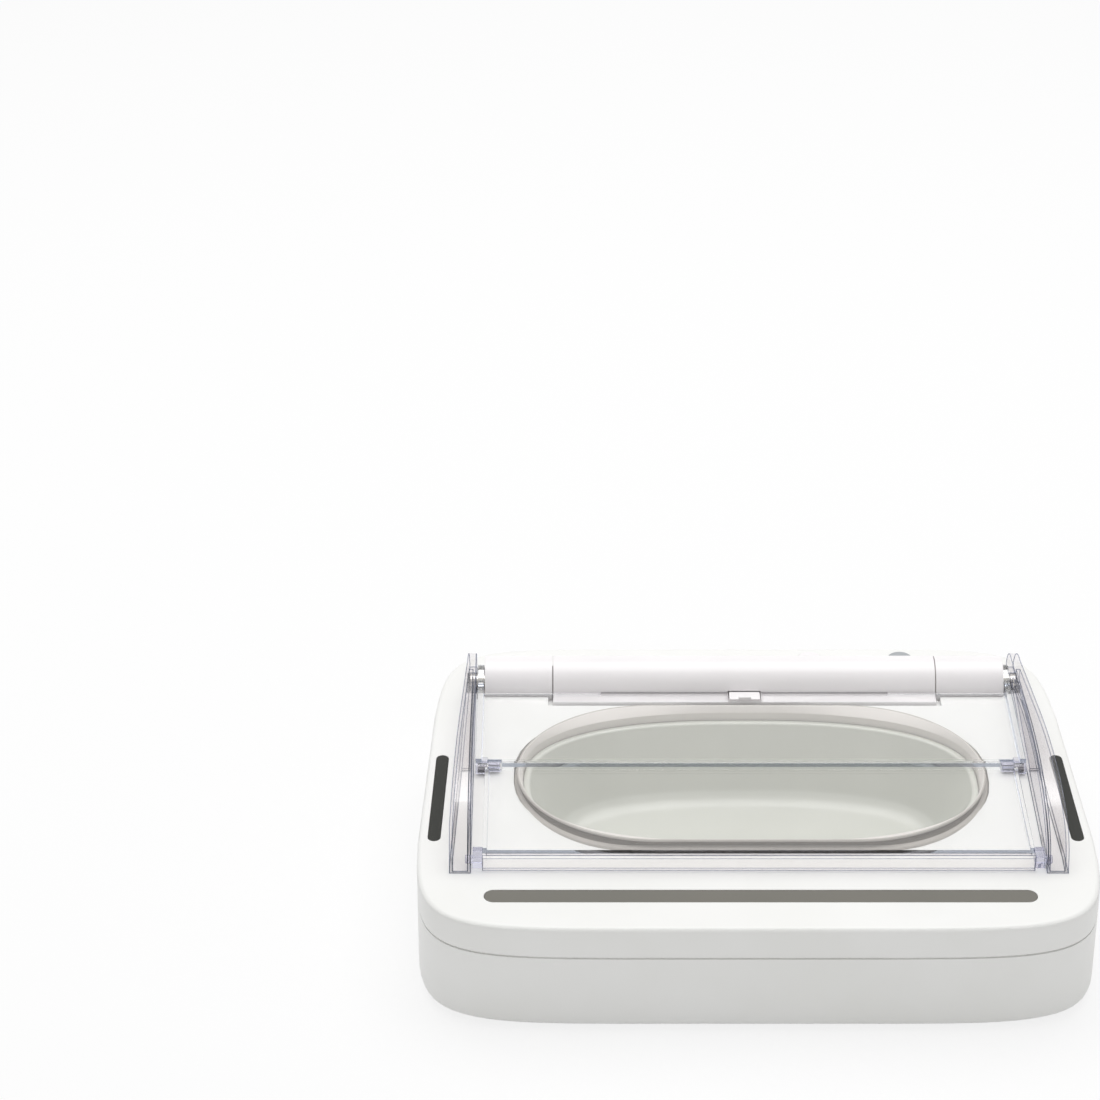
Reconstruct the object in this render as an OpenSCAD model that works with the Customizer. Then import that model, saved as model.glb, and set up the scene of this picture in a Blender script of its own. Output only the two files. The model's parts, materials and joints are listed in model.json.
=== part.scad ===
// Sealed pet bowl with a motor-driven lid that folds in two.
// Origin: centre of the footprint, on the table. +X right, +Y back, +Z up.

/* [Housing] */
// Width of the housing at its widest place
body_w = 313; // [300:1:330]
// Depth of the housing from front to back
body_d = 227; // [220:1:240]
// Height of the deck at the front edge
deck_front_h = 56.5; // [55:0.5:58]
// How much higher the deck is at the back edge
deck_rise_h = 8; // [7:0.5:9]
// Height of the underside above the table
ground_gap = 1.5; // [1:0.25:2.5]
// How far the seam lies below the deck
seam_drop = 15.5; // [13:0.5:18]
// Height of the shadow groove at the seam
seam_groove_h = 0.9; // [0.6:0.1:1.4]
// Depth of the shadow groove at the seam
seam_groove_d = 1; // [0.6:0.1:1.2]
// Wall of the housing mouldings
wall = 2.5; // [2:0.1:3]
// Squareness of the front corners, as the exponent of the outline
front_corner = 7; // [6:0.5:8]
// Squareness of the back corners, as the exponent of the outline
back_corner = 8.5; // [7:0.5:9.5]
// How much narrower each side is at the back
back_narrowing = 10.7; // [9:0.1:11]
// Radius of the edge between deck and side
deck_edge_r = 2.2; // [1.5:0.1:3]
// Radius of the bottom edge
bottom_edge_r = 5; // [4:0.5:6]

/* [Bowl] */
// Distance from the widest side to the soft seal ring
bowl_side_margin = 44.5; // [43.5:0.5:48]
// Distance from the front edge to the soft seal ring
bowl_front_margin = 56.5; // [55:0.5:60]
// Gap between the seal ring and the flag plate
bowl_flag_gap = 0.7; // [0.6:0.1:2]
// Width of the soft seal ring
seal_t = 4; // [3:0.5:5]
// Height of the soft seal ring
seal_h = 8.69; // [8:0.01:10]
// Depth of the bowl below the ledge
bowl_depth = 34; // [30:1:36]
// Wall of the bowl
bowl_wall = 1.8; // [1.4:0.1:2.4]
// Thickness of the bowl's rim
rim_t = 1.8; // [1.4:0.1:2.2]
// How far the bowl narrows from its rim to its floor
bowl_draft = 15; // [12:0.5:18]
// Roundness of the bowl's outline, as the exponent
bowl_corner = 2.5; // [2.2:0.1:2.8]

/* [Hinge tube] */
// Distance from the back edge to the hinge axis
hinge_back = 31.5; // [31:0.5:34]
// Height of the hinge axis above the deck
hinge_rise = 0.6; // [0.3:0.1:1]
// Outside radius of the hinge tube
tube_r = 13; // [12.5:0.25:13.5]
// Wall of the turning sleeve
sleeve_wall = 2; // [1.6:0.1:2.2]
// Distance from the widest side to the end of the turning sleeve
sleeve_margin = 63; // [60.5:0.5:68]
// Gap between sleeve and tube ends
sleeve_gap = 0.4; // [0.3:0.1:0.8]
// Distance from the side of the housing to the end of the tube
tube_margin = 29.5; // [28.5:0.5:31]
// Radius of the stub pins of the lid
stub_pin_r = 4; // [3.5:0.25:4.5]
// Thickness of the flag plate on the sleeve
flag_t = 2.7; // [2.4:0.1:3]
// Reach of the flag plate in front of the axis
flag_reach = 20.3; // [19:0.1:20.4]

/* [Clear lid] */
// Thickness of the clear panels
panel_t = 2; // [1.6:0.1:2.4]
// How far the lid opens, in degrees
lid_open = 100; // [92:1:102]
// Turn of the fold for each turn of the lid
fold_ratio = 1.65; // [1.62:0.01:1.7]
// Share of the lid's reach that the rear panel takes
lid_split = 0.5117; // [0.505:0.0005:0.52]
// Distance from the front edge to the guide pins
guide_front = 46; // [45:0.5:48]
// How far the guide pins lie below the lid's underside
guide_drop = 1.5; // [1:0.25:2]
// Radius of the guide pins
guide_pin_r = 2; // [1.75:0.25:2.25]
// Radius of the pins of the middle hinge
mid_pin_r = 1.5; // [1.25:0.05:1.75]
// Thickness of the lid's side arms
arm_t = 3; // [2.6:0.1:3.4]
// Height of the arms above the panels
arm_h = 3; // [2:0.5:4]
// Gap between the front skirt and the deck
skirt_gap = 0.7; // [0.5:0.1:1.2]

/* [Side cheeks] */
// Wall of the clear cheeks
cheek_wall = 1.6; // [1.4:0.1:2]
// Width of a cheek over the front foot
cheek_front_w = 9.8; // [8.5:0.1:10.5]
// Width of a cheek at the hinge
cheek_back_w = 3.8; // [3.4:0.1:5]
// Clearance of a guide pin in its slot
slot_gap = 0.35; // [0.3:0.05:0.5]
// Clear height of the cheek's crown above the slot
crown_t = 1.5; // [1.2:0.1:2.2]

/* [Sensor windows] */
// Distance from the widest side to the end of the front window
front_window_margin = 31.5; // [29:0.5:40]
// Width of the front window
front_window_w = 9.2; // [7:0.1:10]
// Distance from the front edge to the middle of the front window
front_window_y = 24.6; // [22:0.1:27]
// Length of a side window
side_window_l = 68.5; // [60:0.5:74]
// Width of a side window
side_window_w = 6; // [5:0.1:6.5]
// Distance from the widest side to the middle of a side window
side_window_x = 9; // [8.5:0.1:9.5]
// Place of a side window's middle in front of the centre
side_window_y = 13.5; // [10:0.5:16]
// Lean of a side window towards the back, in degrees
side_window_lean = 2.1; // [1:0.1:3]
// Thickness of the windows
window_t = 2.2; // [1.8:0.1:2.4]

/* [Buttons] */
// Radius of the buttons
button_r = 6; // [5:0.25:6.5]
// Place of the lid button from the centre
lid_button_x = 79.4; // [72:0.2:84]
// Place of the mode button from the centre
mode_button_x = 34.4; // [30:0.2:45]
// Distance from the back edge to the buttons
button_back = 9.9; // [9.2:0.1:10.1]
// How far the buttons stand above the deck
button_proud = 0.3; // [0.2:0.1:0.8]
// Travel of the buttons
button_travel = 1.2; // [0.8:0.1:1.5]
// Travel of the release latch
latch_travel = 1.5; // [1:0.1:1.6]

/* [Batteries] */
// Diameter of a C cell
cell_d = 26.2; // [25.5:0.1:26.4]
// Length of a C cell
cell_l = 50; // [49:0.5:50]
// Distance from the widest side to the middle of the cells
cell_margin = 27.5; // [27:0.5:28.5]
// Place of the middle of the cells in front of the centre
cell_y = 8; // [6:0.5:10]
// Thickness of a battery door
door_t = 2.2; // [1.8:0.1:2.4]
// Travel of a battery door
door_travel = 9; // [7:0.5:10]

/* [Hidden] */

shell_white = [0.95, 0.95, 0.95];
soft_grey = [0.66, 0.65, 0.62];
bowl_grey = [0.78, 0.79, 0.76];
clear = [0.84, 0.89, 0.95, 0.35];
smoked = [0.22, 0.22, 0.2];
steel = [0.72, 0.72, 0.74];
board_green = [0.12, 0.38, 0.22];
rubber_dark = [0.15, 0.15, 0.15];

$fn = 64;
eps = 0.01;
fit = 0.05;       // running fit of a pin in its bore
gap = 0.3;        // gap between pieces that don't touch
lots = 400;       // longer than the whole object

plan_n = 72;      // points in a ring of the housing
bowl_n = 60;      // points in a ring of the bowl
deck_back_h = deck_front_h + deck_rise_h;
deck_rise = deck_rise_h / body_d;
deck_angle = atan(deck_rise);
front_y = -body_d / 2;
back_y = body_d / 2;
side_x = body_w / 2;                   // the widest side
straight_side = 33.5;                  // behind this much of the depth the sides run inwards
narrow_from = front_y + straight_side;

function signed_pow(v, p) = sign(v) * pow(abs(v), p);
function deck_z(y) = deck_front_h + deck_rise * (y - front_y);
function half_width(y) =
    side_x - back_narrowing * pow(max(0, (y - narrow_from) / (back_y - narrow_from)), 2);
function plan_point(a, inset) =
    let (power = 2 / (sin(a) < 0 ? front_corner : back_corner))
    let (y = (back_y - inset) * signed_pow(sin(a), power))
    [(half_width(y) - inset) * signed_pow(cos(a), power), y];
function plan_ring(inset) = [for (i = [0:plan_n - 1]) plan_point((i + 0.5) * 360 / plan_n, inset)];
function level_ring(inset, z) = [for (p = plan_ring(inset)) [p.x, p.y, z]];
function deck_ring(inset, drop) = [for (p = plan_ring(inset)) [p.x, p.y, deck_z(p.y) - drop]];

hinge_y = back_y - hinge_back;
hinge_z = deck_z(hinge_y) + hinge_rise;
flag_y0 = hinge_y - flag_reach;
ledge_h = hinge_z - gap - seal_h;      // the ledge that carries the bowl and the seal
seal_back_y = flag_y0 - bowl_flag_gap;
seal_front_y = front_y + bowl_front_margin;
seal_half_l = side_x - bowl_side_margin;
seal_half_w = (seal_back_y - seal_front_y) / 2;
bowl_y = (seal_back_y + seal_front_y) / 2;

function bowl_point(a, half_l, half_w) =
    [half_l * signed_pow(cos(a), 2 / bowl_corner), bowl_y + half_w * signed_pow(sin(a), 2 / bowl_corner)];
// A ring that lies "inset" inside the seal's outer edge.
function bowl_ring(inset, z) =
    [for (i = [0:bowl_n - 1]) let (p = bowl_point((i + 0.5) * 360 / bowl_n, seal_half_l - inset, seal_half_w - inset))
        [p.x, p.y, z]];
function bowl_deck_ring(inset, drop) = [for (p = bowl_ring(inset, 0)) [p.x, p.y, deck_z(p.y) - drop]];

// A closed solid through a list of rings, each with the same number of points.
module loft(rings) {
    n = len(rings[0]);
    m = len(rings);
    polyhedron(
        points = [for (ring = rings) each ring],
        faces = concat(
            [[for (i = [0:n - 1]) i]],
            [for (k = [0:m - 2], i = [0:n - 1]) [k * n + i, (k + 1) * n + i, (k + 1) * n + (i + 1) % n]],
            [for (k = [0:m - 2], i = [0:n - 1]) [k * n + i, (k + 1) * n + (i + 1) % n, k * n + (i + 1) % n]],
            [[for (i = [n - 1:-1:0]) (m - 1) * n + i]]));
}

// Puts its children in deck coordinates: Y runs up the slope from the front edge, Z is normal to the deck.
module on_deck() {
    translate([0, front_y, deck_front_h]) rotate([deck_angle, 0, 0]) children();
}
function along_deck(y) = (y - front_y) / cos(deck_angle);

module mirrored(side) {
    if (side < 0) mirror([1, 0, 0]) children();
    else children();
}

module x_cylinder(x0, x1, r) {
    translate([x0, 0, 0]) rotate([0, 90, 0]) cylinder(h = x1 - x0, r = r);
}

module at_hinge() {
    translate([0, hinge_y, hinge_z]) children();
}

// An outline in the YZ plane, made into a plate from x0 to x1.
module side_plate(x0, x1) {
    translate([x0, 0, 0]) rotate([90, 0, 90]) linear_extrude(height = x1 - x0) children();
}

module stadium(length, width) {
    square([length - width, width], center = true);
    for (s = [-1, 1]) translate([s * (length - width) / 2, 0]) circle(d = width);
}

module block(x0, x1, y0, y1, z0, z1) {
    translate([x0, y0, z0]) cube([x1 - x0, y1 - y0, z1 - z0]);
}

// Hinge line and lid
tube_end_x = side_x - tube_margin;
sleeve_half = side_x - sleeve_margin;
end_inner_x = sleeve_half + sleeve_gap;
trough_gap = 1;
trough_r = tube_r + trough_gap;
under_z = hinge_z;                     // underside of the closed lid
top_z = under_z + panel_t;
pin_y = front_y + guide_front;
mid_y = hinge_y - lid_split * (hinge_y - pin_y);
mid_z = under_z;
pin_z = mid_z - guide_drop;
arm_x0 = tube_end_x + 0.4;             // inner face of a side arm
arm_x1 = arm_x0 + arm_t;
cheek_x = arm_x1 + 0.8;                // inner face of a cheek
hub_wall = 4.5;
hub_r = stub_pin_r + hub_wall;
eye_r = hub_r;                         // round end of a cheek, around the stub pin
tube_clear = 0.5;                      // between the panel and the tube
panel_back_y = hinge_y - tube_r - tube_clear;
tongue_in = 23.5;                      // from the sleeve's end to the end of the panel's tongue
tongue_half = sleeve_half - tongue_in;
tongue_l = 2.2;
flag_z0 = under_z - flag_t;
sleeve_bore_r = tube_r - sleeve_wall;
mid_knuckle_r = mid_pin_r + 1.4;
knuckle_room = arm_x1 - seal_half_l;   // the knuckles share the room between the seal and the arm's outer face
front_knuckle_x0 = seal_half_l + 0.355 * knuckle_room;
front_knuckle_x1 = seal_half_l + 0.675 * knuckle_room;
knuckle_x0 = front_knuckle_x1 + gap;   // the rear knuckle runs from here to arm_x1
knuckle_web = 1.2;                     // clearance of a panel round the other panel's knuckle
knuckle_lap = 2;                       // how far a knuckle's root reaches past it
knuckle_top = top_z + 0.9;
bar_half = front_knuckle_x0 - 0.5;     // half length of the bars along the fold
rear_bar_z = top_z + 1.2;
front_bar_z = top_z + 2.4;
rear_bar_t = 1.6;
front_bar_t = 1.8;
front_half = arm_x0 - 1.5;             // half width of the front panel
rim_lip_z = top_z + 1.2;               // top of the low lips round the front panel
edge_gap = 1.6;                        // between the two panels
skirt_y = pin_y - 3.7;
skirt_t = 2;
skirt_z0 = deck_z(skirt_y) + skirt_gap;
latch_half = 7.5;
latch_side_gap = 0.5;
latch_front_y = panel_back_y - 6;
latch_back_y = panel_back_y + 0.8;
latch_z1 = top_z + 0.4;
latch_grip_half = 3;
latch_grip_t = 1.6;
latch_grip_h = 1;
latch_end_gap = 0.9;

rear_link = [mid_y - hinge_y, mid_z - hinge_z];
front_link = [pin_y - mid_y, pin_z - mid_z];
function turned(v, a) = [v.x * cos(a) - v.y * sin(a), v.x * sin(a) + v.y * cos(a)];
// Place of the guide pins, as Y and Z, when the lid is open by t degrees.
function pin_at(t) = [hinge_y, hinge_z] + turned(rear_link, -t) + turned(front_link, (fold_ratio - 1) * t);
function unit(v) = v / norm(v);
function outward(t) = turned(unit(pin_at(t + 1) - pin_at(t - 1)), 90);
path_steps = 32;
function beside_path(d, t0, t1) =
    [for (i = [0:path_steps]) let (t = t0 + (t1 - t0) * i / path_steps) pin_at(t) + d * outward(t)];
cap_steps = 12;
// A half circle of radius r round the path's point at t; it starts at from degrees from the outward side.
function round_cap(r, t, from) = [for (k = [1:cap_steps - 1])
    let (o = outward(t), a = atan2(o.y, o.x) + from - 180 * k / cap_steps) pin_at(t) + r * [cos(a), sin(a)]];

// Housing

well_floor_z = ledge_h - bowl_depth - 2.3;
// The well's floor and side, each as how far inside the seal's edge and how far above the floor.
well_curve = [[bowl_draft + 13, 0], [bowl_draft + 6, 1.5], [bowl_draft + 2.5, 6]];
ledge_t = 4;                           // thickness of the ledge
ledge_w = 6.5;                         // width of the ledge
well_gap = 0.2;                        // between the seal and the wall of the well
above_deck = deck_back_h + 5;

module bowl_well_outside() {
    loft(concat(
        [for (c = well_curve) bowl_ring(c[0] - wall, well_floor_z - wall + c[1])],
        [bowl_ring(ledge_w - wall, ledge_h - ledge_t - wall),
         bowl_ring(-wall, ledge_h - wall),
         bowl_deck_ring(-wall, wall / 2)]));
}

module bowl_well_inside() {
    loft(concat(
        [for (c = well_curve) bowl_ring(c[0], well_floor_z + c[1])],
        [bowl_ring(ledge_w, ledge_h - ledge_t),
         bowl_ring(ledge_w, ledge_h),
         bowl_ring(-well_gap, ledge_h),
         bowl_ring(-well_gap, above_deck)]));
}

module under_deck() {
    on_deck() translate([-lots / 2, -lots / 2, -lots - wall / 2]) cube([lots, lots * 1.5, lots]);
}

eye_pocket_x = cheek_x + cheek_back_w + 0.9;
board_drop = 8;                        // strip boards lie this far below the deck
board_t = 1.6;
// Bosses: how far the outer ones stand from the side, the inner ones from the middle, and each from its edge.
boss_out = [18.5, 25.5];
boss_mid = [50, 13];
boss_front = [23.5, 11.5];
boss_back = [17.5, 10];
boss_xy = [[side_x - boss_out[0], front_y + boss_front[0]], [boss_mid[0], front_y + boss_front[1]],
    [side_x - boss_out[1], back_y - boss_back[0]], [boss_mid[1], back_y - boss_back[1]]];
boss_r = 4;
boss_split_z = 16;                     // where the bosses of the two shells meet
screw_r = 1.4;
screw_bite = 14;                       // depth of the screw holes in the upper bosses
button_gap = 0.25;
button_y = back_y - button_back;
button_board_drop = 13;
window_flange = 1;
front_window_l = body_w - 2 * front_window_margin;
post_x = 3.6;                          // from a window's end to the middle of a post
post_w = 2.6;
post_l = 4;
flag_cut = 1;                          // clearance of the flag plate in the deck
flag_cut_x = end_inner_x + 2;
board_post_r = 2.5;
board_post_x = 10;                     // from a button to the post of its board

module side_window_place() {
    on_deck() translate([side_x - side_window_x, along_deck(-side_window_y), 0])
        rotate([0, 0, 90 + side_window_lean]) children();
}

// Two posts that hold a strip board, past the ends of its window.
module strip_posts(length) {
    for (s = [-1, 1]) translate([s * (length / 2 + post_x) - post_w / 2, -post_l / 2, -board_drop])
        cube([post_w, post_l, board_drop - wall / 2]);
}

module upper_shell() {
    color(shell_white) difference() {
        union() {
            loft([
                deck_ring(wall, wall),
                deck_ring(wall, seam_drop),
                deck_ring(0, seam_drop),
                deck_ring(0, deck_edge_r),
                deck_ring(deck_edge_r * (1 - cos(30)), deck_edge_r * (1 - sin(30))),
                deck_ring(deck_edge_r * (1 - cos(60)), deck_edge_r * (1 - sin(60))),
                deck_ring(deck_edge_r, 0)]);
            bowl_well_outside();
            intersection() {
                union() {
                    at_hinge() x_cylinder(-cheek_x - wall + gap, cheek_x + wall - gap, trough_r + wall);
                    at_hinge() x_cylinder(-eye_pocket_x - wall, eye_pocket_x + wall, eye_r + gap + wall);
                    block(-flag_cut_x - wall, flag_cut_x + wall, flag_y0 - flag_cut - wall, hinge_y,
                        flag_z0 - flag_cut - wall, deck_back_h);
                }
                under_deck();
            }
            for (p = boss_xy, s = [-1, 1]) translate([s * p.x, p.y, boss_split_z])
                cylinder(h = deck_z(p.y) - boss_split_z - wall / 2, r = boss_r);
            on_deck() translate([0, front_window_y, 0]) strip_posts(front_window_l);
            for (s = [-1, 1]) mirrored(s) side_window_place() strip_posts(side_window_l);
            on_deck() for (x = [mode_button_x - board_post_x, lid_button_x + board_post_x])
                translate([x, along_deck(button_y), -button_board_drop])
                    cylinder(h = button_board_drop - wall / 2, r = board_post_r);
        }
        bowl_well_inside();
        at_hinge() x_cylinder(-cheek_x + gap, cheek_x - gap, trough_r);
        at_hinge() x_cylinder(-eye_pocket_x, eye_pocket_x, eye_r + gap);
        block(-flag_cut_x, flag_cut_x, flag_y0 - flag_cut, hinge_y, flag_z0 - flag_cut, above_deck);
        on_deck() translate([0, front_window_y, -wall * 2]) linear_extrude(height = wall * 3)
            stadium(front_window_l, front_window_w);
        for (s = [-1, 1]) mirrored(s) side_window_place() translate([0, 0, -wall * 2])
            linear_extrude(height = wall * 3) stadium(side_window_l, side_window_w);
        on_deck() for (x = [mode_button_x, lid_button_x])
            translate([x, along_deck(button_y), -wall * 2]) cylinder(h = wall * 3, r = button_r + button_gap);
        for (p = boss_xy, s = [-1, 1])
            translate([s * p.x, p.y, boss_split_z - eps]) cylinder(h = screw_bite, r = screw_r);
    }
}

foot_in = [38.5, 44.5];                // from the side to the front and back feet
foot_edge = [21.5, 23.5];              // from the front and back edges to the feet
foot_xy = [[side_x - foot_in[0], front_y + foot_edge[0]], [side_x - foot_in[1], back_y - foot_edge[1]]];
foot_r = 8;
foot_recess = 1.2;
cell_x = side_x - cell_margin;
door_x0 = cell_x - cell_d / 2 - 3;
door_x1 = cell_x + cell_d / 2 + 3;
door_y0 = -cell_y - cell_l - 6;
door_y1 = -cell_y + cell_l + 6;
door_z0 = ground_gap + 0.2;
door_z1 = door_z0 + door_t;
cell_z = door_z1 + gap + cell_d / 2;
pack_h = cell_z + cell_d / 2 + 1;      // top of the cell chamber
chamber_wall = 1.6;
chamber_x0 = cell_x - cell_d / 2 - 1;
chamber_x1 = cell_x + cell_d / 2 + 1;
chamber_y0 = -cell_y - cell_l - 2.5;
chamber_y1 = -cell_y + cell_l + 1;
board_half = tongue_half;              // half length of the main board
board_front = 20;                      // how far the main board reaches in front of the hinge axis
board_back = 14;
board_y0 = hinge_y - board_front;
board_y1 = hinge_y + board_back;
standoff_r = 3;
standoff_in = [8, 4];                  // from the board's end and edges to its standoffs
standoff_xy = [for (y = [board_y0 + standoff_in[1], board_y1 - standoff_in[1]]) [board_half - standoff_in[0], y]];
board_z = 26;
lip_h = 3;
lip_t = 1.2;
lip_gap = 0.2;
lip_foot = 4;                          // how far the lip's root reaches below the seam
root = 0.5;                            // how far ribs and bosses sink into the floor
pocket_wall = 1.5;
pocket_roof = 1.6;
head_r = 3.4;
head_h = 4;
screw_gap = 0.3;
screw_past = 8;                        // how far the screws reach into the upper bosses

module lower_shell() {
    root_z = ground_gap + root;
    color(shell_white) difference() {
        union() {
            loft([
                level_ring(bottom_edge_r, ground_gap),
                level_ring(bottom_edge_r * (1 - sin(30)), ground_gap + bottom_edge_r * (1 - cos(30))),
                level_ring(bottom_edge_r * (1 - sin(60)), ground_gap + bottom_edge_r * (1 - cos(60))),
                level_ring(0, ground_gap + bottom_edge_r),
                deck_ring(0, seam_drop + seam_groove_h),
                deck_ring(seam_groove_d, seam_drop + seam_groove_h),
                deck_ring(seam_groove_d, seam_drop),
                deck_ring(wall + lip_gap, seam_drop),
                deck_ring(wall + lip_gap, seam_drop - lip_h),
                deck_ring(wall + lip_gap + lip_t, seam_drop - lip_h),
                deck_ring(wall + lip_gap + lip_t, seam_drop + lip_foot),
                deck_ring(wall, seam_drop + lip_foot + lip_h),
                level_ring(wall, ground_gap + bottom_edge_r),
                level_ring(bottom_edge_r, ground_gap + wall)]);
            for (s = [-1, 1]) mirrored(s) {
                block(door_x0 - pocket_wall, door_x1 + pocket_wall, door_y0 - door_travel - pocket_wall,
                    door_y1 + pocket_wall, root_z, door_z1 + gap + pocket_roof);
                block(chamber_x0 - chamber_wall, chamber_x1 + chamber_wall, chamber_y0 - chamber_wall,
                    chamber_y1 + chamber_wall, root_z, pack_h + chamber_wall);
            }
            for (p = boss_xy, s = [-1, 1])
                translate([s * p.x, p.y, root_z]) cylinder(h = boss_split_z - root_z, r = boss_r + 1);
            for (p = standoff_xy, s = [-1, 1])
                translate([s * p.x, p.y, root_z]) cylinder(h = board_z - root_z, r = standoff_r);
        }
        for (s = [-1, 1]) mirrored(s) {
            block(door_x0 - gap, door_x1 + gap, door_y0 - door_travel - gap, door_y1 + gap, 0, door_z1 + gap / 2);
            block(chamber_x0, chamber_x1, chamber_y0, chamber_y1, 0, pack_h);
        }
        for (p = boss_xy, s = [-1, 1]) translate([s * p.x, p.y, 0]) {
            cylinder(h = boss_split_z + 1, r = screw_r + screw_gap);
            cylinder(h = ground_gap + head_h, r = head_r);
        }
        for (p = foot_xy, s = [-1, 1])
            translate([s * p.x, p.y, 0]) cylinder(h = ground_gap + foot_recess, r = foot_r + gap / 2);
    }
}

window_lap = 1.5;                      // how far a window's flange reaches under the deck at each end

module window_piece(length, width) {
    translate([0, 0, -window_t]) linear_extrude(height = window_t - fit)
        stadium(length - gap, width - gap);
    translate([0, 0, -wall - window_flange]) linear_extrude(height = window_flange + wall - window_t + eps)
        stadium(length - gap, width - gap);
    translate([0, 0, -wall - window_flange]) linear_extrude(height = window_flange)
        stadium(length + 2 * window_lap, width - gap);
}

module front_window() {
    color(smoked) on_deck() translate([0, front_window_y, 0]) window_piece(front_window_l, front_window_w);
}

module side_window(side) {
    color(smoked) mirrored(side) side_window_place() window_piece(side_window_l, side_window_w);
}

// The bowl's two faces, each as how far inside the seal's edge and how far above the bowl's floor.
bowl_outside = [[bowl_draft + 14, -1.2], [bowl_draft + 7.5, -0.4], [bowl_draft + 4, 5]];
bowl_inside = [[bowl_draft + 3, 9], [bowl_draft + 5.5, 4.5], [bowl_draft + 10, 1.8], [bowl_draft + 18, 0.8]];
bowl_side = 8;                         // the bowl's side just below the ledge, inside the seal's edge
bowl_shoulder = 7.4;
rim_gap = 0.4;                         // between the bowl's rim and the seal
rim_w = 2;

module bowl() {
    floor_z = ledge_h - bowl_depth;
    rim_in = seal_t + rim_gap;
    color(bowl_grey) loft(concat(
        [for (c = bowl_outside) bowl_ring(c[0], floor_z + c[1])],
        [bowl_ring(bowl_side, ledge_h - ledge_t),
         bowl_ring(bowl_shoulder, ledge_h),
         bowl_ring(rim_in, ledge_h),
         bowl_ring(rim_in, ledge_h + rim_t),
         bowl_ring(rim_in + rim_w, ledge_h + rim_t),
         bowl_ring(rim_in + rim_w + 1, ledge_h + rim_t - 0.5),
         bowl_ring(bowl_side + bowl_wall, ledge_h - ledge_t)],
        [for (c = bowl_inside) bowl_ring(c[0] + bowl_wall, floor_z + c[1])]));
}

seal_foot_h = 3.9;                     // the seal's foot stands this high on the ledge
seal_waist = 1.9;                      // how far the seal narrows above its foot
seal_lip_t = 2;                        // thickness of the lip that meets the lid

// A foot in the well, and a lip above it that flares out to the lid.
module bowl_seal() {
    top = under_z - gap;
    waist_z = ledge_h + seal_foot_h + seal_waist;
    color(soft_grey) difference() {
        loft([
            bowl_ring(0, ledge_h),
            bowl_ring(0, ledge_h + seal_foot_h),
            bowl_ring(seal_waist, waist_z),
            bowl_ring(0, top - 0.5),
            bowl_ring(0.4, top)]);
        loft([
            bowl_ring(seal_t, ledge_h - 1),
            bowl_ring(seal_t, waist_z),
            bowl_ring(seal_lip_t, top + eps)]);
    }
}

// Tube, sleeve and drive

saddle_half = 10;
saddle_drop = 4;                       // the saddle's top below the hinge axis
pin_seat = 8;                          // how deep a stub pin sits in its tube end
spigot_r = 6;
spigot_l = 9.4;
bush_l = 6.4;
bush_r = 8;
motor_r = 9.9;
motor_l = 63.9;
motor_seat = 4;                        // how deep the gearmotor sits in the right tube end
motor_x0 = end_inner_x + motor_seat - motor_l;
shaft_r = 2;
shaft_l = 10;

module tube_end(side) {
    color(shell_white) mirrored(side) difference() {
        union() {
            at_hinge() x_cylinder(end_inner_x, tube_end_x, tube_r);
            intersection() {
                at_hinge() x_cylinder(end_inner_x + motor_seat, tube_end_x - motor_seat, trough_r - eps * 2);
                block(end_inner_x, tube_end_x, hinge_y - saddle_half, hinge_y + saddle_half, 0, hinge_z - saddle_drop);
            }
            if (side < 0) at_hinge() x_cylinder(end_inner_x - spigot_l, end_inner_x + 1, spigot_r);
        }
        at_hinge() x_cylinder(tube_end_x - pin_seat, tube_end_x + 1, stub_pin_r);
        at_hinge() x_cylinder(end_inner_x + motor_seat - 1, tube_end_x - pin_seat - wall, tube_r - sleeve_wall);
        if (side > 0) at_hinge() x_cylinder(end_inner_x - 1, end_inner_x + motor_seat, motor_r);
    }
}

cheek_pin_seat = 3;                    // how deep a stub pin sits in its cheek

module hinge_pin(side) {
    color(steel) mirrored(side) at_hinge() x_cylinder(tube_end_x - pin_seat, cheek_x + cheek_pin_seat, stub_pin_r);
}

module hinge_sleeve() {
    color(shell_white) difference() {
        union() {
            at_hinge() x_cylinder(-sleeve_half, sleeve_half, tube_r);
            block(-sleeve_half, sleeve_half, flag_y0, hinge_y - sleeve_bore_r, flag_z0, under_z);
        }
        at_hinge() x_cylinder(-sleeve_half + sleeve_end_t, sleeve_half + 1, sleeve_bore_r);
        at_hinge() x_cylinder(-sleeve_half - 1, -sleeve_half + sleeve_end_t + 1, bush_r + fit);
        block(-tongue_half - tongue_gap, tongue_half + tongue_gap, panel_back_y - 1,
            panel_back_y + tongue_l + tongue_gap, under_z - eps, top_z + tongue_gap / 2);
        block(-latch_half - latch_side_gap, latch_half + latch_side_gap, panel_back_y - 1,
            latch_back_y + latch_travel + latch_end_gap, under_z - eps, latch_z1 + gap);
        for (x = plug_xs) translate([x, plug_y, flag_z0 - 1]) cylinder(h = 1 + plug_t, r = plug_r);
    }
}

tongue_gap = 0.2;
sleeve_end_t = 4;                      // closed end of the sleeve, which holds the bush
plug_xs = [-tongue_half - 2, -25, 25, tongue_half + 2];
plug_y = flag_y0 + 4.8;
plug_r = 4;
plug_t = 1.3;
plug_proud = 0.25;

module sleeve_plugs() {
    color(shell_white) for (x = plug_xs)
        translate([x, plug_y, flag_z0 - plug_proud]) cylinder(h = plug_t + plug_proud, r = plug_r);
}

module gearmotor() {
    color(steel) at_hinge() {
        difference() {
            x_cylinder(motor_x0, end_inner_x + motor_seat, motor_r);
            x_cylinder(motor_x0 - 1, motor_x0 + shaft_l, shaft_r + fit);
        }
    }
}

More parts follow.
